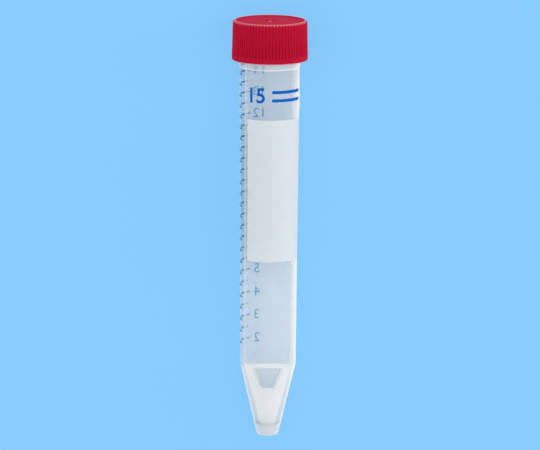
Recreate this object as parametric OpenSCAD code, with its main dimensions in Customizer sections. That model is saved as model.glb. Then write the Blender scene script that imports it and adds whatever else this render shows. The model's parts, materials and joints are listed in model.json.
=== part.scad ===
// Centrifuge tube, 15 ml, with a cone at its lower end and a ribbed screw cap.
// The tube is drawn upright, tip down, and then laid on its side: it rests on the
// rim of its cap and on the shoulder of its cone, as a loose tube does on a bench.

/* [Tube] */
// Height of the tube from its tip to its mouth
tube_h = 118.5; // [95:0.5:145]
// Radius of the straight band that a rack or rotor hole holds
band_r = 8.5; // [7:0.05:11]
// Length of the straight band
band_h = 12; // [9:0.5:18]
// Loss of radius from the band down to the shoulder of the cone
body_taper = 0.55; // [0.2:0.05:0.9]
// Height of the cone, from the tip to the shoulder
cone_h = 21; // [17:0.5:28]
// Radius of the flat tip, measured to its sharp corner
tip_r = 2.95; // [2.5:0.05:3.6]
// Wall of the body
wall = 1.1; // [0.9:0.05:1.4]
// Thickness of the plastic under the well in the tip
floor_t = 2.5; // [2:0.1:3.2]
// Radius of the well's floor, measured to its sharp corner
well_r = 2; // [1.6:0.05:2.4]

/* [Neck] */
// Step in from the band to the neck
neck_step = 0.15; // [0.1:0.01:0.25]
// Wall of the neck
neck_wall = 1.25; // [1:0.05:1.5]
// Step out from the band to the collar below the cap
collar_step = 0.16; // [0.12:0.01:0.25]
// Height of collar that shows below the cap
collar_show = 2; // [1.5:0.1:3]
// Height of collar that the cap hides
collar_under = 1; // [0.8:0.1:1.4]

/* [Thread] */
// Rise of the thread in one turn
thread_pitch = 3.2; // [2.6:0.1:3.9]
// Number of turns
thread_turns = 1.6; // [1.3:0.05:1.9]
// Height of the thread above the neck
thread_depth = 0.9; // [0.75:0.05:1.1]
// Width of the thread at its foot
thread_foot = 1.5; // [1.2:0.05:1.8]
// Width of the thread at its crest
thread_crest = 0.5; // [0.4:0.05:0.6]

/* [Cap] */
// Height of the cap
cap_h = 11.5; // [10.5:0.1:14]
// Thickness of the cap's top, its rim included
cap_top_t = 1.5; // [1.2:0.05:1.8]
// Wall of the cap between the bore and the grooves
cap_wall = 1; // [0.9:0.05:1.4]
// Height of the ribs above the grooves
rib_depth = 0.35; // [0.3:0.05:0.5]
// Number of ribs
rib_count = 70; // [48:1:84]
// Height of the plain rim below the ribs
rim_h = 1.6; // [1.2:0.1:2.4]
// Loss of radius from the plain rim up to the top edge
cap_draft = 0.2; // [0.1:0.05:0.3]
// Depth of the shallow dish in the top
dish_depth = 0.25; // [0.15:0.05:0.4]
// Length of the plug that seals the mouth
plug_h = 2.6; // [2:0.1:3.2]
// Wall of the plug
plug_wall = 0.85; // [0.6:0.05:1]

/* [Fits] */
// Clearance between the plug and the mouth, on the radius
plug_gap = 0.05; // [0.03:0.01:0.1]
// Clearance between the thread and the bore of the cap, on the radius
bore_gap = 0.25; // [0.2:0.05:0.5]

/* [Hidden] */
$fn = 96;

// radii that follow from the band
neck_r = band_r - neck_step;
mouth_r = neck_r - neck_wall;
collar_r = band_r + collar_step;
shoulder_r = band_r - body_taper;
thread_r = neck_r + thread_depth;
plug_r = mouth_r - plug_gap;
bore_r = thread_r + bore_gap;
groove_r = bore_r + cap_wall;
rim_r = groove_r + rib_depth;
cap_top_r = rim_r - cap_draft;

// heights above the tip
cap_top_z = tube_h + cap_top_t;
cap_z = cap_top_z - cap_h;
collar_z = cap_z - collar_show;
collar_top_z = cap_z + collar_under;
band_z = collar_z - band_h;
ribs_z = cap_z + rim_h;

// small blends, each held to its own edge
tip_blend = 1;
shoulder_blend = 5;
well_blend = 1.8;
lip_blend = 0.35;
lip_bevel = 0.25;
band_relief = 0.08;
mouth_land = 4.5;
rim_blend = 0.5;
top_edge = 0.6;
top_land = 0.45;
bore_bevel = 0.4;
gate_r = 1.5;
gate_nub_r = 0.45;
plug_lead = 0.3;

// share of the rib pitch taken by a crest and by the mouth of a groove
rib_crest = 0.4;
rib_foot = 0.7;

// steps of the thread in one turn, and the share of its length that fades in or out
thread_steps = 48;
thread_fade = 0.08;
thread_sink = 0.15;

// a hair of overlap for cuts that must pass a face
eps = 0.01;

// Outline corners are [r, z, blend]. A blend of 0 leaves the corner sharp, and
// any other one replaces it with a true arc that is tangent to both edges.
function place(c) = [c[0], c[1]];
function unit(v) = v / norm(v);
function half_angle(a, b, c) = acos(unit(a - b) * unit(c - b)) / 2;
function arc_centre(a, b, c, r) =
    b + unit(unit(a - b) + unit(c - b)) * r / sin(half_angle(a, b, c));
function arc_end(from, b, r, half) = b + unit(from - b) * r / tan(half);
function corner(a, b, c, r) =
    let (half = half_angle(a, b, c))
    r == 0 ? [b] : [arc_end(a, b, r, half), arc_end(c, b, r, half)];

function before(i, list) = place(list[(i + len(list) - 1) % len(list)]);
function after(i, list) = place(list[(i + 1) % len(list)]);
function centre_of(i, list) =
    arc_centre(before(i, list), place(list[i]), after(i, list), list[i][2]);

// Area inside a list of corners whose blends are all on outward corners
module blended(list) {
    polygon([
        for (i = [0 : len(list) - 1])
            each corner(before(i, list), place(list[i]), after(i, list), list[i][2])
    ]);
    for (i = [0 : len(list) - 1])
        if (list[i][2] > 0)
            translate(centre_of(i, list)) circle(list[i][2]);
}

// Right half of the plane, so that arcs near the axis don't cross it
module right_half() {
    translate([0, -tube_h]) square([2 * rim_r, 3 * tube_h]);
}

// Outside of the tube, from the axis at the tip up to the axis at the mouth
tube_outside = [
    [0, 0, 0],
    [tip_r, 0, tip_blend],
    [shoulder_r, cone_h, shoulder_blend],
    [band_r - band_relief, band_z - 4 * band_relief, 0],
    [band_r, band_z, 0],
    [band_r, collar_z, 0],
    [collar_r, collar_z + collar_step, 0],
    [collar_r, collar_top_z - 2 * collar_step, 0],
    [neck_r, collar_top_z, 0],
    [neck_r, tube_h, lip_blend],
    [0, tube_h, 0]
];

// Inside of the tube, from the axis at the well's floor up past the mouth
tube_inside = [
    [0, floor_t, 0],
    [well_r, floor_t, well_blend],
    [shoulder_r - wall, cone_h, shoulder_blend],
    [mouth_r, tube_h - mouth_land, 0],
    [mouth_r, tube_h - lip_bevel, 0],
    [mouth_r + lip_bevel + eps, tube_h + eps, 0],
    [0, tube_h + eps, 0]
];

// Outside of the cap, from the axis at the rim up to the axis at the top
cap_outside = [
    [0, cap_z, 0],
    [rim_r, cap_z, rim_blend],
    [rim_r, ribs_z, 0],
    [cap_top_r, cap_top_z - top_edge, 0],
    [cap_top_r - top_edge, cap_top_z, 0],
    [0, cap_top_z, 0]
];

// Space inside the cap's skirt, up to the face that meets the tube's lip
cap_inside = [
    [0, cap_z - eps, 0],
    [bore_r + bore_bevel + eps, cap_z - eps, 0],
    [bore_r, cap_z + bore_bevel, 0],
    [bore_r, tube_h, 0],
    [0, tube_h, 0]
];

// Ring that plugs the mouth, with a lead on its outer edge
plug_ring = [
    [plug_r - plug_wall, tube_h - plug_h, 0],
    [plug_r - plug_lead, tube_h - plug_h, 0],
    [plug_r, tube_h - plug_h + 2 * plug_lead, 0],
    [plug_r, tube_h + eps, 0],
    [plug_r - plug_wall, tube_h + eps, 0]
];

// The helix that the cap screws on: rings of four corners, joined in order. Its
// ends sink below the neck's surface, so the thread rises out of it and fades back.
function fade(t) = min(1, t / thread_fade, (1 - t) / thread_fade);
function thread_ring(t) =
    let (
        angle = 360 * thread_turns * t,
        rise = thread_pitch * thread_turns * (t - 1) + tube_h - thread_pitch,
        foot_r = neck_r - 2 * thread_sink,
        crest_r = neck_r - thread_sink + (thread_depth + thread_sink) * fade(t)
    )
    [
        for (p = [
            [foot_r, -thread_foot / 2],
            [crest_r, -thread_crest / 2],
            [crest_r, thread_crest / 2],
            [foot_r, thread_foot / 2]
        ])
        [p[0] * cos(angle), p[0] * sin(angle), rise + p[1]]
    ];

module thread() {
    last = round(thread_turns * thread_steps);
    polyhedron(
        points = [for (i = [0 : last]) each thread_ring(i / last)],
        faces = [
            [3, 2, 1, 0],
            for (i = [0 : last - 1], k = [0 : 3])
                [4 * i + k, 4 * i + (k + 1) % 4, 4 * (i + 1) + (k + 1) % 4, 4 * (i + 1) + k],
            [4 * last, 4 * last + 1, 4 * last + 2, 4 * last + 3]
        ]
    );
}

// Star-shaped section of the ribs: crests reach past the cap's outline, which trims them
module rib_section() {
    pitch = 360 / rib_count;
    reach = rim_r + rib_depth / 2;
    narrowing = (rib_foot - rib_crest) * (reach - rim_r) / rib_depth;
    polygon([
        for (i = [0 : rib_count - 1], side = [-1, 1], out = [0, 1])
            let (
                crest = (side < 0) ? out == 1 : out == 0,
                share = crest ? rib_crest - narrowing : rib_foot,
                r = crest ? reach : groove_r,
                a = (i + side * share / 2) * pitch
            )
            [r * cos(a), r * sin(a)]
    ]);
}

// One moulding: cone, body, collar, neck and thread
module upright_tube() {
    rotate_extrude() {
        difference() {
            intersection() {
                blended(tube_outside);
                right_half();
            }
            blended(tube_inside);
        }
    }
    thread();
}

// Ribbed skirt and top, before the bore is taken out
module cap_blank() {
    intersection() {
        rotate_extrude() blended(cap_outside);
        union() {
            translate([0, 0, ribs_z]) linear_extrude(cap_h) rib_section();
            translate([0, 0, cap_z]) cylinder(r = rim_r + rib_depth, h = rim_h);
        }
    }
}

module upright_cap() {
    difference() {
        cap_blank();
        rotate_extrude() blended(cap_inside);
        translate([0, 0, cap_top_z - dish_depth])
            cylinder(r = cap_top_r - top_edge - top_land, h = cap_h);
        translate([0, 0, cap_top_z - 2 * dish_depth]) cylinder(r = gate_r, h = cap_h);
    }
    translate([0, 0, cap_top_z - 2 * dish_depth - eps]) cylinder(r = gate_nub_r, h = dish_depth);
    rotate_extrude() blended(plug_ring);
}

// Resting pose: both touching edges are arcs, so the tilt is the slope of the
// line that is tangent to the two of them.
shoulder_c = centre_of(2, tube_outside);
rim_c = centre_of(1, cap_outside);
rest_run = rim_c - shoulder_c;
rest_tilt = atan2(rest_run.x, rest_run.y)
    + asin((rim_blend - shoulder_blend) / norm(rest_run));
lift = shoulder_c.x * cos(rest_tilt) - shoulder_c.y * sin(rest_tilt) + shoulder_blend;

// A round object may lie at any turn about its own length
rest_turn = 4;

// The origin is below the middle of the object's length
tip_c = centre_of(1, tube_outside);
y_low = tip_c.y * cos(rest_tilt) - tip_c.x * sin(rest_tilt) - tip_blend;
y_high = cap_top_z * cos(rest_tilt) + (cap_top_r - top_edge) * sin(rest_tilt);

module laid() {
    translate([0, -(y_low + y_high) / 2, lift])
        rotate([rest_tilt - 90, 0, 0]) rotate([0, 0, rest_turn]) children();
}

module tube() {
    color([0.84, 0.89, 0.92, 0.6]) laid() upright_tube();
}

module cap() {
    color([0.68, 0.06, 0.15]) laid() upright_cap();
}

tube();
cap();
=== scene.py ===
import json
import math

import bmesh
import bpy
from mathutils import Matrix, Vector


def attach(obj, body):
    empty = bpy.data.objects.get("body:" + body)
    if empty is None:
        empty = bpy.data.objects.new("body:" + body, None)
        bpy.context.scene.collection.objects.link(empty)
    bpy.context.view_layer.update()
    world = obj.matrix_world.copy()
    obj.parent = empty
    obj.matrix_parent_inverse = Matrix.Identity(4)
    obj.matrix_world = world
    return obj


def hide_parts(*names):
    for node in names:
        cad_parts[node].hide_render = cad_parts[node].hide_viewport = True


# A 15 ml conical tube with a ribbed screw cap, lying on its side.
# The CAD tube stays; the cap and the prints are built here.

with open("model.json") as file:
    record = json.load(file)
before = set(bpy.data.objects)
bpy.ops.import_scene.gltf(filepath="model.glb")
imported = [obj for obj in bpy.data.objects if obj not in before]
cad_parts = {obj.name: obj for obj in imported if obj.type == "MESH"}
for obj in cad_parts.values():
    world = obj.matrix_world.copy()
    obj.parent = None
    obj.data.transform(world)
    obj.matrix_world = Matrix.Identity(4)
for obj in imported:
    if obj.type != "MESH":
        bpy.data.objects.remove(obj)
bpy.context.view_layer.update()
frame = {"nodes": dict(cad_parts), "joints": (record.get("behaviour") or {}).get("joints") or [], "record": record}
print("frame loaded")

# Own sizes are in millimetres: height is measured along the tube from its tip,
# and an angle of 0 is the front, with positive angles to the front's right.

mm = 0.001
tubeLength = 120.0  # tip to the top of the cap
smoothBelow = 50.0  # degrees; faces that meet at less are shaded as one

tubeAxis = Vector(frame["joints"][0]["axis"]).normalized()
capTop = Vector([m["pos_m"] for m in frame["record"]["mounts"] if m["name"] == "cap_top"][0])
bandRadius = [m["dims"]["r_mm"] for m in frame["record"]["mounts"] if m["name"] == "body_band"][0]
tipPoint = capTop - tubeAxis * tubeLength * mm
rightAxis = Vector((1, 0, 0))
depthAxis = tubeAxis.cross(rightAxis)  # from the front towards the floor
toWorld = (Matrix.Translation(tipPoint)
           @ Matrix((rightAxis, depthAxis, tubeAxis)).transposed().to_4x4()
           @ Matrix.Scale(mm, 4))


def onTube(radius, angle, height):
    return (radius * math.sin(angle), -radius * math.cos(angle), height)


def linearColour(code):
    parts = [int(code[i:i + 2], 16) / 255 for i in (1, 3, 5)]
    return [p / 12.92 if p <= 0.04045 else ((p + 0.055) / 1.055) ** 2.4 for p in parts] + [1.0]


def addNode(tree, kind, settings=None, links=None):
    node = tree.nodes.new(kind)
    for name, value in (settings or {}).items():
        if isinstance(name, int) or name in node.inputs:
            node.inputs[name].default_value = value
        else:
            setattr(node, name, value)
    for name, source in (links or {}).items():
        tree.links.new(source, node.inputs[name])
    return node


def newMaterial(name):
    material = bpy.data.materials.new(name)
    material.use_nodes = True
    material.node_tree.nodes.clear()
    return material, material.node_tree


# Screw caps are moulded in high-density polyethylene: an even, waxy red with fine spark-eroded grain
# that leaves almost no mirror. Its edges get a glossier finish whose colour carries a painted highlight.
capPlastic = {
    "red": "#AC102C",
    "paleRed": "#B41434",
    "pigmentSize": 6.0,  # mm
    "grainSize": 0.25,  # mm, drawn coarser than the real 0.05 so that it shows
    "grainDepth": 0.004,  # mm
    "roughnessSpread": 0.08,
    "scatter": 0.5,  # waxy depth, which softens the grooves
    "scatterDepth": 1.2,  # mm
    "scatterReach": (1.0, 0.3, 0.3),  # how far red, green and blue travel, as shares of it
    "ior": 1.53,
    "finishes": {
        # pale is the share of painted highlight in a finish's colour
        "moulded_polyethylene_red": {"gloss": 0.01, "roughness": 0.5, "pale": 0.0},
        "moulded_polyethylene_red_painted_highlight": {"gloss": 0.12, "roughness": 0.35, "pale": 0.26},
    },
    "paintedHighlightColour": "#FFDCE4",  # painted highlight: the pale pink that the edges' colour is mixed towards
}


def makeCapMaterial(name, look):
    finish = look["finishes"][name]
    material, tree = newMaterial(name)
    place = addNode(tree, "ShaderNodeTexCoord").outputs["Object"]
    pigment = addNode(tree, "ShaderNodeTexNoise", {
        "Scale": 1 / (look["pigmentSize"] * mm), "Detail": 3.0, "Roughness": 0.6},
        {"Vector": place})
    colour = addNode(tree, "ShaderNodeMix", {
        "data_type": "RGBA", 6: linearColour(look["red"]), 7: linearColour(look["paleRed"])},
        {0: pigment.outputs["Fac"]})
    # painted highlight: the finish's pale share mixes the colour towards a pale pink
    colour = addNode(tree, "ShaderNodeMix", {
        "data_type": "RGBA", 0: finish["pale"], 7: linearColour(look["paintedHighlightColour"])},
        {6: colour.outputs[2]})
    grain = addNode(tree, "ShaderNodeTexNoise", {
        "Scale": 1 / (look["grainSize"] * mm), "Detail": 2.0}, {"Vector": place})
    rough = addNode(tree, "ShaderNodeMapRange", {
        "To Min": finish["roughness"] - look["roughnessSpread"] / 2,
        "To Max": finish["roughness"] + look["roughnessSpread"] / 2},
        {"Value": grain.outputs["Fac"]})
    bump = addNode(tree, "ShaderNodeBump", {
        "Strength": 1.0, "Distance": look["grainDepth"] * mm}, {"Height": grain.outputs["Fac"]})
    shader = addNode(tree, "ShaderNodeBsdfPrincipled", {
        "IOR": look["ior"], "Specular IOR Level": finish["gloss"],
        "Subsurface Weight": look["scatter"], "Subsurface Scale": look["scatterDepth"] * mm,
        "Subsurface Radius": look["scatterReach"]}, {
        "Base Color": colour.outputs[2], "Roughness": rough.outputs["Result"],
        "Normal": bump.outputs["Normal"]})
    addNode(tree, "ShaderNodeOutputMaterial", None, {"Surface": shader.outputs["BSDF"]})
    return material


# The tube is injection-moulded polypropylene: clear and glossy, with a slightly milky skin that grows towards the
# edges, partly as a painted highlight, and a greyer solid tip.
# Painted light and shade are laid into the milk: more at the back, the right and the collar, less at the left, two
# bright lines at the collar, and a white bore in the cone with a pale ring above it and a clearer patch in it.
tubePlastic = {
    "body": "#F8F9FA",
    "shade": "#ECEFF2",
    "tip": "#D5DCE4",
    "gloss": 0.025,  # share mirrored at a right angle; it grows towards the edges
    "mirrorPower": 5.0,  # as the reflection of any clear plastic grows
    "roughness": 0.2,
    "roughnessSpread": 0.06,
    "cloudSize": 7.0,  # mm
    "rippleSize": 3.0,  # mm
    "rippleDepth": 0.004,  # mm
    # shares of the light that the plastic scatters, on the bore and on the skin
    "boreHaze": 0.02,
    "coneHazePaintedLight": (0.86, 0.62),  # painted light: white standing in for the light the thick cone bends, at its foot and its head
    "paintedWindowHaze": 0.24,
    "paintedRingHighlight": 0.5,
    "frontHaze": 0.1,
    # painted light: the milk at the back is denser, standing in for light that shows through from behind
    "backHazeAndPaintedLight": 0.64,
    # the milk grows towards the outline: partly the longer way through the skin, partly a painted highlight
    "edgeHazeAndPaintedHighlight": 1.0,
    "edgePower": 3.2,
    # what each place adds to the skin's share; all but the tip's are painted light and shade
    "rightPaintedLight": 0.25,
    "leftPaintedShade": -0.35,
    "sidePaintedLight": 0.05,  # painted light and shade: more to the right and less to the left
    "coneSkinPaintedLight": 0.22,
    "tipHaze": 0.5,
    "collarPaintedLight": 0.26,
    "paintedLineHighlight": 0.5,
    "paintedWindowSkinHaze": -0.3,
    # where the share changes from front to back and across, in parts of the tube's radius
    "backFade": (-0.3, 0.8),
    "rightFade": (0.7, 0.92),
    "leftFade": (-0.98, -0.75),
    "sideFade": (-0.9, 0.9),
    # heights above the tip and sizes, mm
    "wellFloor": 2.5,
    "tipFade": (2.75, 3.75),  # where the tip's colour ends
    "tipHazeTop": 4.0,
    "coneTop": 19.8,
    "coneFade": 0.3,
    "coneSlant": 0.09,  # the cone's painted white starts this much lower for each mm towards the back
    "windowLow": 13.4,  # a painted clearer patch in the cone's white, under its rim, standing in for what the cone shows through it
    "windowHigh": 19.3,
    "windowHalf": (2.0, 4.3),  # half its width, at its foot and its head
    "windowSoft": ((-0.5, 0.8), (-0.4, 0.6), (0.3, -0.1)),  # how its sides, foot and head fade
    "windowSlant": 0.16,  # lean of the patch and of the ring's top, as coneSlant
    "ringTop": 20.8,  # top of the painted highlight ring above the cone's white
    "ringFade": 0.4,
    "coneSkinFade": 1.5,
    "collar": 106.6,
    "collarFade": 0.1,
    "lines": ((106.6, 0.22), (108.35, 0.3)),  # heights and widths of the collar's two painted highlight lines
    "midWall": ((2.5, 2.75), (21.0, 7.45)),  # heights and the radii that part bore from skin
}


def hazeOf(tree, look, place):
    # the share of light that the wall scatters, by where on the tube it is, with the painted light and shade laid
    # in; and the height there
    fromTip = addNode(tree, "ShaderNodeVectorMath", {"operation": "SUBTRACT", 1: tipPoint},
                      {0: place}).outputs[0]
    height, depth, side = (
        addNode(tree, "ShaderNodeVectorMath", {"operation": "DOT_PRODUCT", 1: axis},
                {0: fromTip}).outputs["Value"] for axis in (tubeAxis, depthAxis, rightAxis))
    across = addNode(tree, "ShaderNodeVectorMath", {"operation": "CROSS_PRODUCT", 1: tubeAxis},
                     {0: fromTip}).outputs[0]
    radius = addNode(tree, "ShaderNodeVectorMath", {"operation": "LENGTH"},
                     {0: across}).outputs["Value"]
    (lowHeight, lowRadius), (highHeight, highRadius) = look["midWall"]
    parting = addNode(tree, "ShaderNodeMapRange", {
        "From Min": lowHeight * mm, "From Max": highHeight * mm,
        "To Min": lowRadius * mm, "To Max": highRadius * mm}, {"Value": height}).outputs[0]
    outside = addNode(tree, "ShaderNodeMath", {"operation": "GREATER_THAN"},
                      {0: radius, 1: parting}).outputs[0]

    # the painted clearer patch narrows downwards
    leaning = addNode(tree, "ShaderNodeMath", {"operation": "MULTIPLY_ADD", 1: look["windowSlant"]},
                      {0: depth, 2: height}).outputs[0]
    lowHalf, highHalf = look["windowHalf"]
    half = addNode(tree, "ShaderNodeMapRange", {
        "From Min": look["windowLow"] * mm, "From Max": look["windowHigh"] * mm,
        "To Min": lowHalf * mm, "To Max": highHalf * mm}, {"Value": leaning}).outputs[0]
    aside = addNode(tree, "ShaderNodeMath", {"operation": "ABSOLUTE"}, {0: side}).outputs[0]
    inside = addNode(tree, "ShaderNodeMath", {"operation": "SUBTRACT"},
                     {0: half, 1: aside}).outputs[0]
    patch = None
    for value, edge, (start, end) in zip((inside, leaning, leaning),
                                         (0.0, look["windowLow"], look["windowHigh"]),
                                         look["windowSoft"]):
        part = addNode(tree, "ShaderNodeMapRange", {
            "interpolation_type": "SMOOTHSTEP", "From Min": (edge + start) * mm,
            "From Max": (edge + end) * mm}, {"Value": value}).outputs[0]
        patch = part if patch is None else addNode(
            tree, "ShaderNodeMath", {"operation": "MULTIPLY"}, {0: patch, 1: part}).outputs[0]

    # each step is a value with the range, in mm, over which it goes from one share to the other
    fades = {name: [share * bandRadius for share in look[name]]
             for name in ("backFade", "rightFade", "leftFade", "sideFade")}
    # painted light and shade on the skin: more at the back and to the right, less to the left
    skin = [(depth, *fades["backFade"], look["frontHaze"], look["backHazeAndPaintedLight"]),
            (side, *fades["rightFade"], 0.0, look["rightPaintedLight"]),
            (side, *fades["leftFade"], look["leftPaintedShade"], 0.0),
            (side, *fades["sideFade"], -look["sidePaintedLight"], look["sidePaintedLight"]),
            # painted light: more milk on the cone's skin
            (leaning, look["ringTop"] - look["coneSkinFade"], look["ringTop"],
             look["coneSkinPaintedLight"], 0.0),
            (height, look["wellFloor"], look["tipHazeTop"], look["tipHaze"], 0.0),
            # painted light: a whiter collar, where the cap's shade falls
            (height, look["collar"], look["collar"] + look["collarFade"],
             0.0, look["collarPaintedLight"])]
    # painted highlights: two bright lines round the collar
    for line, width in look["lines"]:
        away = addNode(tree, "ShaderNodeMath", {"operation": "SUBTRACT", 1: line * mm}, {0: height})
        away = addNode(tree, "ShaderNodeMath", {"operation": "ABSOLUTE"},
                       {0: away.outputs[0]}).outputs[0]
        skin.append((away, width / 2, width, look["paintedLineHighlight"], 0.0))
    onSkin = None
    for value, start, end, first, last in skin:
        step = addNode(tree, "ShaderNodeMapRange", {
            "interpolation_type": "SMOOTHSTEP", "From Min": start * mm, "From Max": end * mm,
            "To Min": first, "To Max": last}, {"Value": value}).outputs[0]
        onSkin = step if onSkin is None else addNode(
            tree, "ShaderNodeMath", {"operation": "ADD"}, {0: onSkin, 1: step}).outputs[0]
    # painted refraction: less milk on the skin in the clearer patch
    onSkin = addNode(tree, "ShaderNodeMath", {
        "operation": "MULTIPLY_ADD", 1: look["paintedWindowSkinHaze"]}, {0: patch, 2: onSkin}).outputs[0]

    # painted light: the bore whitens in the cone, for the light the thick cone bends
    footHaze, headHaze = look["coneHazePaintedLight"]
    paintedConeWhite = addNode(tree, "ShaderNodeMapRange", {
        "From Min": look["wellFloor"] * mm, "From Max": look["coneTop"] * mm,
        "To Min": footHaze, "To Max": headHaze}, {"Value": height}).outputs[0]
    # painted refraction: less white on the bore in the clearer patch
    paintedConeWhite = addNode(tree, "ShaderNodeMix", {"data_type": "FLOAT", 3: look["paintedWindowHaze"]},
                      {0: patch, 2: paintedConeWhite}).outputs[0]
    slanted = addNode(tree, "ShaderNodeMath", {"operation": "MULTIPLY_ADD", 1: look["coneSlant"]},
                      {0: depth, 2: height}).outputs[0]
    coned = addNode(tree, "ShaderNodeMapRange", {
        "interpolation_type": "SMOOTHSTEP", "From Min": look["coneTop"] * mm,
        "From Max": (look["coneTop"] + look["coneFade"]) * mm, "To Min": 1.0, "To Max": 0.0},
        {"Value": slanted}).outputs[0]
    # painted highlight: a pale ring on the bore above the cone
    ring = addNode(tree, "ShaderNodeMapRange", {
        "interpolation_type": "SMOOTHSTEP",
        "From Min": (look["ringTop"] - look["ringFade"]) * mm, "From Max": look["ringTop"] * mm,
        "To Min": look["paintedRingHighlight"], "To Max": look["boreHaze"]},
        {"Value": leaning}).outputs[0]
    onBore = addNode(tree, "ShaderNodeMix", {"data_type": "FLOAT"},
                     {0: coned, 2: ring, 3: paintedConeWhite}).outputs[0]
    haze = addNode(tree, "ShaderNodeMix", {"data_type": "FLOAT"},
                   {0: outside, 2: onBore, 3: onSkin}).outputs[0]
    return haze, height


def makeTubeMaterial(look):
    material, tree = newMaterial("moulded_polypropylene_clear")
    place = addNode(tree, "ShaderNodeTexCoord").outputs["Object"]
    haze, height = hazeOf(tree, look, place)
    facing = addNode(tree, "ShaderNodeLayerWeight", {"Blend": 0.5}).outputs["Facing"]
    # partly real, partly painted highlight: more milk towards the outline
    edge = addNode(tree, "ShaderNodeMath", {"operation": "POWER", 1: look["edgePower"]},
                   {0: facing})
    haze = addNode(tree, "ShaderNodeMath", {
        "operation": "MULTIPLY_ADD", "use_clamp": True, 1: look["edgeHazeAndPaintedHighlight"]},
        {0: edge.outputs[0], 2: haze}).outputs[0]
    cloud = addNode(tree, "ShaderNodeTexNoise", {
        "Scale": 1 / (look["cloudSize"] * mm), "Detail": 3.0}, {"Vector": place})
    rough = addNode(tree, "ShaderNodeMapRange", {
        "To Min": look["roughness"] - look["roughnessSpread"] / 2,
        "To Max": look["roughness"] + look["roughnessSpread"] / 2}, {"Value": cloud.outputs["Fac"]})
    ripple = addNode(tree, "ShaderNodeTexNoise", {
        "Scale": 1 / (look["rippleSize"] * mm), "Detail": 1.0}, {"Vector": place})
    bump = addNode(tree, "ShaderNodeBump", {
        "Strength": 1.0, "Distance": look["rippleDepth"] * mm}, {"Height": ripple.outputs["Fac"]})
    colour = addNode(tree, "ShaderNodeMix", {
        "data_type": "RGBA", 6: linearColour(look["body"]), 7: linearColour(look["shade"])},
        {0: cloud.outputs["Fac"]})
    tipLow, tipHigh = look["tipFade"]
    inTip = addNode(tree, "ShaderNodeMapRange", {
        "From Min": tipLow * mm, "From Max": tipHigh * mm, "To Min": 1.0, "To Max": 0.0},
        {"Value": height})
    colour = addNode(tree, "ShaderNodeMix", {"data_type": "RGBA", 7: linearColour(look["tip"])},
                     {0: inTip.outputs[0], 6: colour.outputs[2]})
    clear = addNode(tree, "ShaderNodeBsdfTransparent")
    gloss = addNode(tree, "ShaderNodeBsdfGlossy", None, {
        "Roughness": rough.outputs[0], "Normal": bump.outputs["Normal"]})
    steep = addNode(tree, "ShaderNodeMath", {"operation": "POWER", 1: look["mirrorPower"]},
                    {0: facing})
    mirror = addNode(tree, "ShaderNodeMapRange", {"To Min": look["gloss"]},
                     {"Value": steep.outputs[0]})
    wall = addNode(tree, "ShaderNodeMixShader", None, {
        0: mirror.outputs[0], 1: clear.outputs["BSDF"], 2: gloss.outputs["BSDF"]})
    milk = addNode(tree, "ShaderNodeBsdfDiffuse", None, {"Color": colour.outputs[2]})
    shader = addNode(tree, "ShaderNodeMixShader", None, {
        0: haze, 1: wall.outputs[0], 2: milk.outputs["BSDF"]})
    addNode(tree, "ShaderNodeOutputMaterial", None, {"Surface": shader.outputs[0]})
    return material


# Pad-printed inks: thin, dull films whose density wavers a little, with a slight grain.
inkFilm = {  # what the four inks share
    "grainSize": 0.3,  # mm, drawn coarser than the real 0.05 so that it shows
    "grainDepth": 0.003,  # mm
    "ior": 1.5,
    "throughDepth": 0.3,  # mm that light travels in an ink that lets some through
}
# each has its share that lets light through and the size of its denser patches, in mm
whiteInk = {"name": "pad_printed_white", "thick": "#D3DADE", "thin": "#CBD3D8",
            "roughness": 0.55, "gloss": 0.3, "through": 0.6, "blotchSize": 5.0}
blueInk = {"name": "pad_printed_blue", "thick": "#0058B4", "thin": "#0664BE",
           "roughness": 0.5, "gloss": 0.05, "through": 0.0, "blotchSize": 0.5}
scaleInk = {"name": "pad_printed_pale_blue", "thick": "#2A86B0", "thin": "#3E94BA",
            "roughness": 0.5, "gloss": 0.2, "through": 0.0, "blotchSize": 0.5}
numberInk = {"name": "pad_printed_cyan", "thick": "#0C9CCC", "thin": "#20A8D4",
             "roughness": 0.5, "gloss": 0.2, "through": 0.0, "blotchSize": 0.5}


def makeInkMaterial(look, film):
    material, tree = newMaterial(look["name"])
    place = addNode(tree, "ShaderNodeTexCoord").outputs["Object"]
    blotch = addNode(tree, "ShaderNodeTexNoise", {
        "Scale": 1 / (look["blotchSize"] * mm), "Detail": 4.0, "Roughness": 0.6},
        {"Vector": place})
    colour = addNode(tree, "ShaderNodeMix", {
        "data_type": "RGBA", 6: linearColour(look["thick"]), 7: linearColour(look["thin"])},
        {0: blotch.outputs["Fac"]})
    grain = addNode(tree, "ShaderNodeTexNoise", {
        "Scale": 1 / (film["grainSize"] * mm), "Detail": 2.0}, {"Vector": place})
    bump = addNode(tree, "ShaderNodeBump", {
        "Strength": 1.0, "Distance": film["grainDepth"] * mm}, {"Height": grain.outputs["Fac"]})
    shader = addNode(tree, "ShaderNodeBsdfPrincipled", {
        "Roughness": look["roughness"], "IOR": film["ior"], "Specular IOR Level": look["gloss"],
        "Subsurface Weight": look["through"], "Subsurface Scale": film["throughDepth"] * mm,
        "Subsurface Radius": (1.0, 1.0, 1.0)}, {
        "Base Color": colour.outputs[2], "Normal": bump.outputs["Normal"]})
    addNode(tree, "ShaderNodeOutputMaterial", None, {"Surface": shader.outputs["BSDF"]})
    return material


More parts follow.
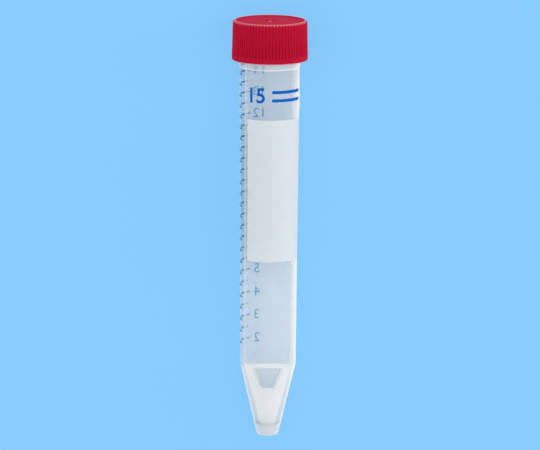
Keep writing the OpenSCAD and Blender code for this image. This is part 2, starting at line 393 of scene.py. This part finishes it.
def addPiece(name, points, faces, material, body, extras=()):
    # extras are further finishes, each with the faces that have it
    mesh = bpy.data.meshes.new(name)
    mesh.from_pydata([toWorld @ Vector(p) for p in points], [], faces)
    work = bmesh.new()
    work.from_mesh(mesh)
    bmesh.ops.recalc_face_normals(work, faces=work.faces)
    work.to_mesh(mesh)
    work.free()
    mesh.shade_smooth()
    mesh.set_sharp_from_angle(angle=math.radians(smoothBelow))
    mesh.materials.append(material)
    for i, (finish, chosen) in enumerate(extras):
        mesh.materials.append(finish)
        for face in chosen:
            mesh.polygons[face].material_index = i + 1
    piece = bpy.data.objects.new(name, mesh)
    bpy.context.scene.collection.objects.link(piece)
    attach(piece, body)
    return piece


cap = {
    "height": 11.5,
    "rimRadius": 10.85,
    "topRadius": 10.65,
    "grooveRadius": 10.5,
    "rimHeight": 1.6,
    "rimBlend": 0.5,
    "chamfer": 0.45,
    "ribs": 70,
    # one rib: places across it, as shares of its pitch, and its height there
    "ribShape": ((0.0, 1.0), (0.15, 1.0), (0.235, 0.8), (0.33, 0.12), (0.5, 0.0),
                 (0.67, 0.12), (0.765, 0.8), (0.85, 1.0)),
    "dishRadius": 9.85,
    "dishDepth": 0.25,
    "gateRadius": 1.5,
    "nubRadius": 0.45,
    "brightTop": 0.09,  # how far below the top its edge has the glossier finish with painted highlight
    "brightRim": 0.27,  # and how far above the rim's foot
    "boreRadius": 9.5,
    "boreTop": 1.5,  # thickness of the top
    "plugRadius": 7.05,
    "plugWall": 0.85,
    "plugHeight": 2.6,
    "threadDepth": 0.8,
    "threadPitch": 3.2,
    "threadTurns": 1.5,
    "threadFoot": 0.7,  # half widths of the thread, at the bore and at its crest
    "threadCrest": 0.22,
    "threadStart": 110.4,  # height above the tube's tip
    "threadAngle": -155.0,  # degrees, where it starts
    "threadRunOut": 0.06,  # share of its length over which each end dies out
    "threadedBore": (0.65, 7.8),  # above the rim's foot
    "ringStep": 0.15,
    "turn": 4.0,  # degrees, as the CAD cap is turned
}


def capRings(c):
    # the outside, from the gate mark to the bore's mouth: radii of a rib and a groove, and height
    top = tubeLength
    low = top - c["height"]
    ribLow = low + c["rimHeight"]
    dishFloor = top - c["dishDepth"]
    gateFloor = dishFloor - c["dishDepth"]
    gate, nub, dish = c["gateRadius"], c["nubRadius"], c["dishRadius"]
    rings = [(r, r, z) for r, z in (
        (nub - 0.15, dishFloor), (nub - 0.06, dishFloor - 0.02), (nub, dishFloor - 0.1),
        (nub + 0.04, gateFloor + 0.05), (nub + 0.15, gateFloor),
        (gate - 0.3, gateFloor), (gate - 0.12, gateFloor + 0.03), (gate - 0.03, gateFloor + 0.1),
        (gate + 0.02, dishFloor - 0.06), (gate + 0.12, dishFloor - 0.01), (gate + 0.3, dishFloor),
        (5.0, dishFloor), (dish - 0.4, dishFloor), (dish - 0.12, dishFloor + 0.02),
        (dish - 0.04, dishFloor + 0.08), (dish, top - 0.08), (dish + 0.06, top - 0.02),
        (dish + 0.13, top), (dish + 0.26, top))]
    corner = c["topRadius"] - c["chamfer"]
    for r, z in ((corner - 0.06, top - 0.005), (corner + 0.03, top - 0.05),
                 (corner + 0.1, top - 0.1)):
        rings.append((r, r, z))
    groove = c["grooveRadius"]
    for drop in (0.18, 0.24, 0.3, 0.35, 0.4):
        crest = corner + drop
        rings.append((crest, min(crest, groove), top - drop))
    side = c["topRadius"]
    rings.append((side - 0.02, groove, top - 0.45))
    rings.append((side, groove, top - 0.55))

    def crestAt(z):
        # the skirt widens evenly downwards
        drop = (top - c["chamfer"] - z) / (top - c["chamfer"] - ribLow)
        return side + (c["rimRadius"] - side) * drop

    for z in (top - 2, top - 4, top - 7, ribLow + 0.35):
        rings.append((crestAt(z), groove, z))
    rim = c["rimRadius"]
    for step, share in ((0.22, 0.06), (0.14, 0.25), (0.08, 0.6), (0.03, 0.9), (-0.03, 1.0)):
        rings.append((crestAt(ribLow + step), groove + (rim - groove) * share, ribLow + step))
    rings.append((rim, rim, low + c["rimBlend"]))
    for i in range(1, 7):
        a = math.pi / 2 * i / 6
        r = rim - c["rimBlend"] * (1 - math.cos(a))
        rings.append((r, r, low + c["rimBlend"] * (1 - math.sin(a))))
    bore = c["boreRadius"]
    rings += [(r, r, z) for r, z in (
        (bore + 0.5, low), (bore + 0.42, low + 0.01), (bore + 0.36, low + 0.04),
        (bore + 0.04, low + 0.36), (bore + 0.01, low + 0.42), (bore, low + 0.5))]
    return rings


def makeCap(c, grained, glossyPaintedHighlight):
    top = tubeLength
    low = top - c["height"]
    inner = top - c["boreTop"]
    pitch = 360 / c["ribs"]
    columns = []
    for i in range(c["ribs"]):
        for share, rise in c["ribShape"]:
            columns.append((math.radians((i + share) * pitch + c["turn"] + 90), rise))

    def ridge(angle, z):
        # height of the inner thread at this angle and height
        a = math.degrees(angle) - 90 - c["turn"]
        best = 0.0
        # whole turns either way, so that every pass of the thread is met
        for k in range(-2, 4):
            run = a + 360 * k - c["threadAngle"]
            u = run / (360 * c["threadTurns"])
            if 0 < u < 1:
                centre = c["threadStart"] + c["threadPitch"] * run / 360
                flank = (c["threadFoot"] - abs(z - centre)) / (c["threadFoot"] - c["threadCrest"])
                ends = min(1, u / c["threadRunOut"], (1 - u) / c["threadRunOut"])
                best = max(best, ends * min(1, max(0, flank)))
        return best * c["threadDepth"]

    points, faces = [], []
    wide = len(columns)

    def addRing(radii, z):
        first = len(points)
        points.extend(onTube(r, a, z) for r, (a, _) in zip(radii, columns))
        return first

    outside = capRings(c)
    starts = []
    for crest, groove, z in outside:
        starts.append(addRing([groove + (crest - groove) * rise for _, rise in columns], z))
    bore = c["boreRadius"]
    firstRing, lastRing = c["threadedBore"]
    z = low + firstRing
    while z < low + lastRing:
        starts.append(addRing([bore - ridge(a, z) for a, _ in columns], z))
        z += c["ringStep"]
    # the bore's end, then down the plug's outside and up its inside
    plug, wall, base = c["plugRadius"], c["plugWall"], inner - c["plugHeight"]
    for r, z in ((bore, inner - 0.3), (bore - 0.06, inner - 0.08), (bore - 0.25, inner),
                 (plug + 0.3, inner), (plug + 0.08, inner - 0.06), (plug, inner - 0.3),
                 (plug, base + 0.6), (plug - 0.04, base + 0.45), (plug - 0.27, base + 0.05),
                 (plug - 0.35, base), (plug - wall + 0.08, base), (plug - wall, base + 0.08),
                 (plug - wall, inner - 0.25), (plug - wall - 0.06, inner - 0.06),
                 (plug - wall - 0.25, inner), (3.0, inner)):
        starts.append(addRing([r] * wide, z))

    # painted highlight, with a little more gloss, on the top's edge, the ribs' upper ends, the gate mark's nub and
    # the rim's foot
    bright = []
    edgeLow, margin = top - c["brightTop"], 0.1
    outside += [(0, 0, 0)] * (len(starts) - len(outside))  # the inside has none
    for (crest, _, z), a, b in zip(outside, starts, starts[1:]):
        onEdge = crest > c["dishRadius"] - margin and z > edgeLow
        onChamfer = crest > c["dishRadius"] + 2 * margin and edgeLow >= z > top - c["chamfer"]
        onNub = 0 < crest < c["nubRadius"] + margin
        onRim = (crest > c["rimRadius"] - c["rimBlend"] + margin
                 and low < z < low + c["brightRim"])
        for i in range(wide):
            j = (i + 1) % wide
            onCrest = columns[i][1] == columns[j][1] == 1.0
            if onEdge or onNub or onRim or onChamfer and onCrest:
                bright.append(len(faces))
            faces.append((a + i, a + j, b + j, b + i))
    for ring, z in ((starts[0], top - c["dishDepth"]), (starts[-1], inner)):
        points.append((0, 0, z))
        centre = len(points) - 1
        for i in range(wide):
            faces.append((ring + i, ring + (i + 1) % wide, centre))
    piece = addPiece("screw_cap", points, faces, grained, "cap",
                     ((glossyPaintedHighlight, bright),))
    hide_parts("cap")


prints = {
    "proud": 0.02,  # mm of ink above the plastic
    "sunk": 0.04,  # mm of ink below it, clear of its facets, so that it also shows through
    "strip": 0.3,  # mm, width of the flat strips that follow the curve
    "speck": 0.00001,  # mm, edges shorter than this go before the cutting
    "merge": 0.003,  # mm, points closer than this become one after it
}
# heights and radii of the tube's side: the drafted body, its step and the straight band
tubeSide = ((21.0, 7.95), (94.18, 8.42), (94.5, bandRadius), (106.5, bandRadius))


def sideRadius(height):
    for (h0, r0), (h1, r1) in zip(tubeSide, tubeSide[1:]):
        if height <= h1:
            return r0 + (r1 - r0) * (height - h0) / (h1 - h0)
    return tubeSide[-1][1]


def rectangle(flat, left, right, low, high, corner=0.0):
    # seven points to a rounded corner, one to a sharp one
    outline = []
    for cx, cy, start in ((right - corner, high - corner, 0), (left + corner, high - corner, 90),
                          (left + corner, low + corner, 180), (right - corner, low + corner, 270)):
        for step in range(7 if corner else 1):
            a = math.radians(start + 15 * step)
            x, y = cx + corner * math.cos(a), cy + corner * math.sin(a)
            outline.append(flat.verts.new((x, y, 0)))
    flat.faces.new(outline)


figureHeight = 0.73  # of a figure in the built-in typeface at size 1
curveSteps = 5


def numeral(flat, text, right, middle, high, narrow, weight):
    # text is set in the built-in typeface, its right edge and its middle where asked
    curve = bpy.data.curves.new("numeral", "FONT")
    curve.body = text
    curve.size = high / figureHeight
    curve.offset = weight
    curve.resolution_u = curveSteps
    holder = bpy.data.objects.new("numeral", curve)
    mesh = bpy.data.meshes.new_from_object(holder)
    edge = max(v.co.x for v in mesh.vertices)
    low = min(v.co.y for v in mesh.vertices)
    tall = max(v.co.y for v in mesh.vertices) - low
    mesh.transform(Matrix.Translation((right, middle, 0))
                   @ Matrix.Diagonal((narrow, high / tall, 1, 1))
                   @ Matrix.Translation((-edge, -low - tall / 2, 0)))
    flat.from_mesh(mesh)
    bpy.data.objects.remove(holder)
    bpy.data.curves.remove(curve)
    bpy.data.meshes.remove(mesh)


def wrapPrint(name, flat, material):
    # cuts the flat print into strips, wraps them round the tube and gives them thickness
    bmesh.ops.dissolve_degenerate(flat, dist=prints["speck"], edges=flat.edges)
    xs = [v.co.x for v in flat.verts]
    x = math.floor(min(xs) / prints["strip"]) * prints["strip"]
    while x < max(xs):
        bmesh.ops.bisect_plane(flat, geom=flat.verts[:] + flat.edges[:] + flat.faces[:],
                               plane_co=(x, 0, 0), plane_no=(1, 0, 0))
        x += prints["strip"]
    for h, _ in tubeSide[1:3]:
        bmesh.ops.bisect_plane(flat, geom=flat.verts[:] + flat.edges[:] + flat.faces[:],
                               plane_co=(0, h, 0), plane_no=(0, 1, 0))
    bmesh.ops.remove_doubles(flat, verts=flat.verts, dist=prints["merge"])
    bmesh.ops.dissolve_degenerate(flat, dist=prints["merge"], edges=flat.edges)
    flat.verts.index_update()
    points = []
    for lift in (prints["proud"], -prints["sunk"]):
        for v in flat.verts:
            points.append(onTube(sideRadius(v.co.y) + lift, v.co.x / bandRadius, v.co.y))
    count = len(flat.verts)
    faces = []
    for f in flat.faces:
        ids = [v.index for v in f.verts]
        faces.append(ids)
        faces.append([count + i for i in reversed(ids)])
    for e in flat.edges:
        if len(e.link_faces) == 1:
            a, b = [v.index for v in e.verts]
            faces.append((a, b, count + b, count + a))
    flat.free()
    addPiece(name, points, faces, material, "tube")


def arc(degrees):
    # the way round the band that an angle makes, mm
    return math.radians(degrees) * bandRadius


# white panel to write on: angles in degrees, the rest in mm
writingArea = {"left": -47.5, "right": 105.0, "low": 51.3, "high": 92.2, "corner": 0.6}

# a line each half millilitre and a number each millilitre: angles in degrees, the rest in mm
scaleMarks = {
    "first": 2.0,
    "last": 14.0,
    "step": 0.5,
    "right": -68.0,
    "minorLeft": -133.5,
    "majorLeft": -139.0,
    "line": 0.45,
    "numberRight": -150.0,
    "wideRight": -146.5,  # from 10 up
    "numberHeight": 2.7,
    "narrow": 1.15,
    "weight": 0.0,
    # the bore that the lines are set by, a little tighter low down than the modelled one
    "coneVolume": 1.1,  # millilitres
    "coneTop": 21.0,
    "boreTop": 114.0,
    "boreLow": 6.85,
    "boreHigh": 7.2,
}


def heightOf(millilitres, s):
    # halves the range until the bore below, which widens evenly, holds that much
    slope = (s["boreHigh"] - s["boreLow"]) / (s["boreTop"] - s["coneTop"])
    low, high = s["coneTop"], s["boreTop"]
    for _ in range(40):
        middle = (low + high) / 2
        r = s["boreLow"] + slope * (middle - s["coneTop"])
        rise = middle - s["coneTop"]
        # a third of the frustum's sum, and a thousandth for cubic mm to millilitres
        held = s["coneVolume"] + math.pi * rise * (
            s["boreLow"] ** 2 + s["boreLow"] * r + r ** 2) / 3000
        low, high = (middle, high) if held < millilitres else (low, middle)
    return low


# front mark: the nominal volume as a plain number, beside two plain rules, in the same units
frontMark = {
    "number": "15",
    "numberRight": -9.0,
    "numberMiddle": 99.3,
    "numberHeight": 4.4,
    "narrow": 1.0,
    "weight": 0.12,
    "ruleLeft": 5.0,
    "ruleRight": 75.0,
    "ruleHeights": (97.9, 100.3),
    "rule": 0.9,
    "ruleCorner": 0.2,
}


def makePrints():
    white, blue, pale, cyan = (
        makeInkMaterial(look, inkFilm) for look in (whiteInk, blueInk, scaleInk, numberInk))
    w = writingArea
    flat = bmesh.new()
    rectangle(flat, arc(w["left"]), arc(w["right"]), w["low"], w["high"], w["corner"])
    wrapPrint("writing_area", flat, white)

    s = scaleMarks
    lines, numbers = bmesh.new(), bmesh.new()
    for i in range(round((s["last"] - s["first"]) / s["step"]) + 1):
        volume = s["first"] + i * s["step"]
        middle = heightOf(volume, s)
        left = arc(s["majorLeft"] if volume.is_integer() else s["minorLeft"])
        rectangle(lines, left, arc(s["right"]), middle - s["line"] / 2, middle + s["line"] / 2)
        if volume.is_integer():
            right = s["numberRight"] if volume < 10 else s["wideRight"]
            numeral(numbers, str(round(volume)), arc(right), middle, s["numberHeight"],
                    s["narrow"], s["weight"])
    wrapPrint("scale_lines", lines, pale)
    wrapPrint("scale_numbers", numbers, cyan)

    f = frontMark
    mark = bmesh.new()
    numeral(mark, f["number"], arc(f["numberRight"]), f["numberMiddle"], f["numberHeight"],
            f["narrow"], f["weight"])
    for height in f["ruleHeights"]:
        rectangle(mark, arc(f["ruleLeft"]), arc(f["ruleRight"]), height - f["rule"] / 2,
                  height + f["rule"] / 2, f["ruleCorner"])
    wrapPrint("front_mark", mark, blue)


makeCap(cap, *(makeCapMaterial(name, capPlastic) for name in capPlastic["finishes"]))
print("cap built")
tubeMaterial = makeTubeMaterial(tubePlastic)
for materialSlot in frame["nodes"]["tube"].material_slots:
    materialSlot.material = tubeMaterial
print("tube given its plastic")
makePrints()
print("prints wrapped")

studio = {
    "floor": "#89CCFE",
    "floorOwn": "#E4EFF8",
    "floorGlow": 0.8,  # share of the floor's seen colour that the lamps and shadows don't change
    "glowStrength": 0.985,  # makes up for the lit share, so that the floor reads as written
    "floorSize": 4.0,  # metres
    "world": "#FFFFFF",
    "worldStrength": 0.72,
    "lamps": {  # place and size in metres, and power in watts
        "top": ((0.0, 0.1, 1.6), (2.4, 2.4), 9.4),
        "left": ((-1.1, 0.1, 0.6), (0.8, 0.8), 1.25),
        "key": ((1.2, 0.2, 0.35), (0.4, 0.6), 3.7),
        "back": ((0.2, 1.1, 0.3), (0.4, 0.12), 2.6),
        "front": ((-0.2, -1.0, 0.35), (0.3, 0.12), 1.0),
    },
}


def makeFloor(look):
    size = look["floorSize"] / 2
    mesh = bpy.data.meshes.new("floor")
    corners = [(-size, -size, 0), (size, -size, 0), (size, size, 0), (-size, size, 0)]
    mesh.from_pydata(corners, [], [(0, 1, 2, 3)])
    floor = bpy.data.objects.new("floor", mesh)
    bpy.context.scene.collection.objects.link(floor)
    material, tree = newMaterial("painted_board_pale_blue")
    rays = addNode(tree, "ShaderNodeLightPath").outputs
    seen = addNode(tree, "ShaderNodeMath", {"operation": "ADD"},
                   {0: rays["Is Camera Ray"], 1: rays["Is Glossy Ray"]})
    seen = addNode(tree, "ShaderNodeMath", {"operation": "ADD", "use_clamp": True},
                   {0: seen.outputs[0], 1: rays["Is Transmission Ray"]})
    share = addNode(tree, "ShaderNodeMath", {"operation": "MULTIPLY", 1: look["floorGlow"]},
                    {0: seen.outputs[0]})
    colour = addNode(tree, "ShaderNodeMix", {
        "data_type": "RGBA", 6: linearColour(look["floorOwn"]), 7: linearColour(look["floor"])},
        {0: seen.outputs[0]})
    lit = addNode(tree, "ShaderNodeBsdfDiffuse", None, {"Color": colour.outputs[2]})
    glow = addNode(tree, "ShaderNodeEmission", {
        "Color": linearColour(look["floor"]), "Strength": look["glowStrength"]})
    mixed = addNode(tree, "ShaderNodeMixShader", None, {
        0: share.outputs[0], 1: lit.outputs[0], 2: glow.outputs[0]})
    addNode(tree, "ShaderNodeOutputMaterial", None, {"Surface": mixed.outputs[0]})
    mesh.materials.append(material)


def makeLamp(name, place, size, power):
    lamp = bpy.data.lights.new(name, "AREA")
    lamp.shape = "RECTANGLE"
    lamp.size, lamp.size_y = size
    lamp.energy = power
    holder = bpy.data.objects.new(name, lamp)
    bpy.context.scene.collection.objects.link(holder)
    holder.location = place
    holder.rotation_euler = (-Vector(place)).to_track_quat("-Z", "Y").to_euler()


def makeWorld(look):
    world = bpy.data.worlds.new("studio")
    bpy.context.scene.world = world
    world.use_nodes = True
    world.node_tree.nodes.clear()
    light = addNode(world.node_tree, "ShaderNodeBackground", {
        "Color": linearColour(look["world"]), "Strength": look["worldStrength"]})
    addNode(world.node_tree, "ShaderNodeOutputWorld", None, {"Surface": light.outputs[0]})


makeFloor(studio)
makeWorld(studio)
for lampName, lampLook in studio["lamps"].items():
    makeLamp(lampName, *lampLook)
print("floor and lights set")

camera = {
    "distance": 4.0,  # metres
    "clip": (0.05, 20.0),  # metres
    "sensor": 36.0,  # mm
    "aimHeight": 60.75,  # mm above the tip
    "aimRight": 0.36,  # mm to the right of the axis
    "raised": 9.3,  # degrees, towards the cap
    "lean": 0.38,  # degrees, the tube's top to the right
    "frameWidth": 154.3,  # mm across the picture at the tube
}


def makeCamera(look):
    raised = math.radians(look["raised"])
    back = -depthAxis * math.cos(raised) + tubeAxis * math.sin(raised)
    up = depthAxis * math.sin(raised) + tubeAxis * math.cos(raised)
    lean = math.radians(look["lean"])
    side = up.cross(back)
    up, side = (up * math.cos(lean) - side * math.sin(lean),
                side * math.cos(lean) + up * math.sin(lean))
    aim = toWorld @ Vector((look["aimRight"], 0, look["aimHeight"]))
    data = bpy.data.cameras.new("camera")
    data.sensor_width = look["sensor"]
    data.lens = look["sensor"] * look["distance"] / (look["frameWidth"] * mm)
    data.clip_start, data.clip_end = look["clip"]
    holder = bpy.data.objects.new("camera", data)
    bpy.context.scene.collection.objects.link(holder)
    turn = Matrix((side, up, back)).transposed().to_4x4()
    holder.matrix_world = Matrix.Translation(aim + back * look["distance"]) @ turn
    bpy.context.scene.camera = holder


makeCamera(camera)
bpy.context.scene.view_settings.view_transform = "Standard"
print("camera set")
